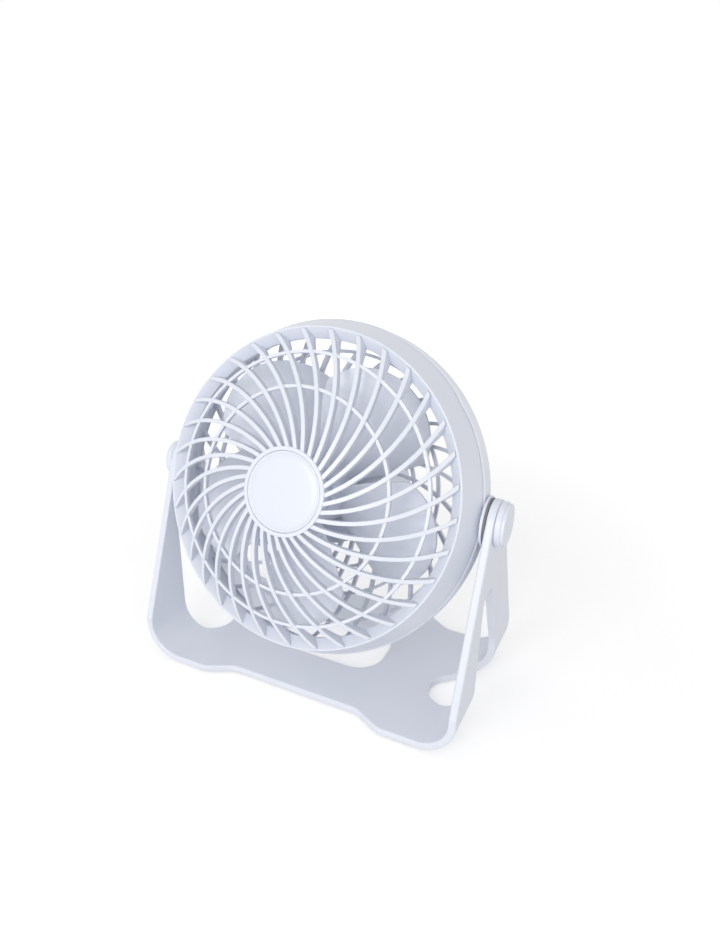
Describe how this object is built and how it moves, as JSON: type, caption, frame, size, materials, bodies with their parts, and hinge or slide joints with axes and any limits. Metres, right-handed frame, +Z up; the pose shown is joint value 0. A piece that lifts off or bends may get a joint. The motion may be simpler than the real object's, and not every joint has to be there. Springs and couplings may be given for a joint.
{
  "type": "desk fan",
  "caption": "Small desk fan: a round head with swirling grille ribs, impeller and motor, tilting on side pivots between the arms of a stand bent from one plate.",
  "frame": {"origin": "on the table under the middle of the fan's overall box; the tilt axis is 6.9 mm nearer the front than the origin and 108 mm up", "axes": "+Z up, -Y the way the fan blows, +X to the right of someone who faces the grille"},
  "size_m": [0.1944, 0.1152, 0.1921],
  "materials": {
    "stand_plastic": "satin moulded plastic, white",
    "grille_plastic": "satin moulded plastic, white",
    "disc_plastic": "smooth moulded plastic, white",
    "impeller_plastic": "smooth moulded plastic, pale",
    "cover_plastic": "fine-grained moulded plastic, white",
    "pivot_plastic": "smooth moulded plastic, white",
    "soft_rubber": "soft, dark grey",
    "pad_rubber": "soft, grey",
    "screw_steel": "plated",
    "can_steel": "drawn, plated",
    "core_steel": "stacked sheets",
    "ferrite": "sintered, dark",
    "contact_brass": "bare",
    "carbon": "pressed carbon",
    "black_plastic": "moulded, black",
    "board": "coated board, green",
    "lead_sleeve": "smooth sleeve"
  },
  "bodies": {
    "stand": {"stand": "stand_plastic", "foot_pads": "pad_rubber"},
    "head": {"front_grille": "grille_plastic", "hub_disc": "disc_plastic", "rear_grille": "grille_plastic", "friction_washer_left": "soft_rubber", "friction_washer_right": "soft_rubber", "pivot_flange_left": "pivot_plastic", "pivot_flange_right": "pivot_plastic", "pivot_cap_left": "pivot_plastic", "pivot_cap_right": "pivot_plastic", "pivot_screws": "screw_steel", "motor_can": "can_steel", "motor_end_cap": "black_plastic", "motor_terminals": "contact_brass", "motor_bushes": "contact_brass", "motor_magnets": "ferrite", "motor_brushes": "carbon", "motor_screws": "screw_steel", "motor_cover": "cover_plastic", "cover_screws": "screw_steel", "circuit_board": "board", "board_screws": "screw_steel", "power_socket": "can_steel", "socket_core": "black_plastic", "switch_body": "black_plastic", "motor_leads": "lead_sleeve"},
    "rotor": {"impeller": "impeller_plastic", "impeller_retainer": "impeller_plastic", "motor_shaft": "screw_steel", "motor_armature": "core_steel", "motor_commutator": "contact_brass"},
    "slider": {"switch_slider": "black_plastic"}
  },
  "joints": [
    {"name": "head_tilt", "type": "hinge", "parent": "stand", "child": "head", "pos_m": [0, -0.00688, 0.108], "axis": [1, 0, 0], "continuous": true},
    {"name": "blade_spin", "type": "hinge", "parent": "head", "child": "rotor", "pos_m": [0, -0.00688, 0.108], "axis": [0, -0.9511, 0.309], "continuous": true},
    {"name": "speed_slide", "type": "slide", "parent": "head", "child": "slider", "axis": [1, 0, 0], "range_m": [0, 0.004]}
  ]
}
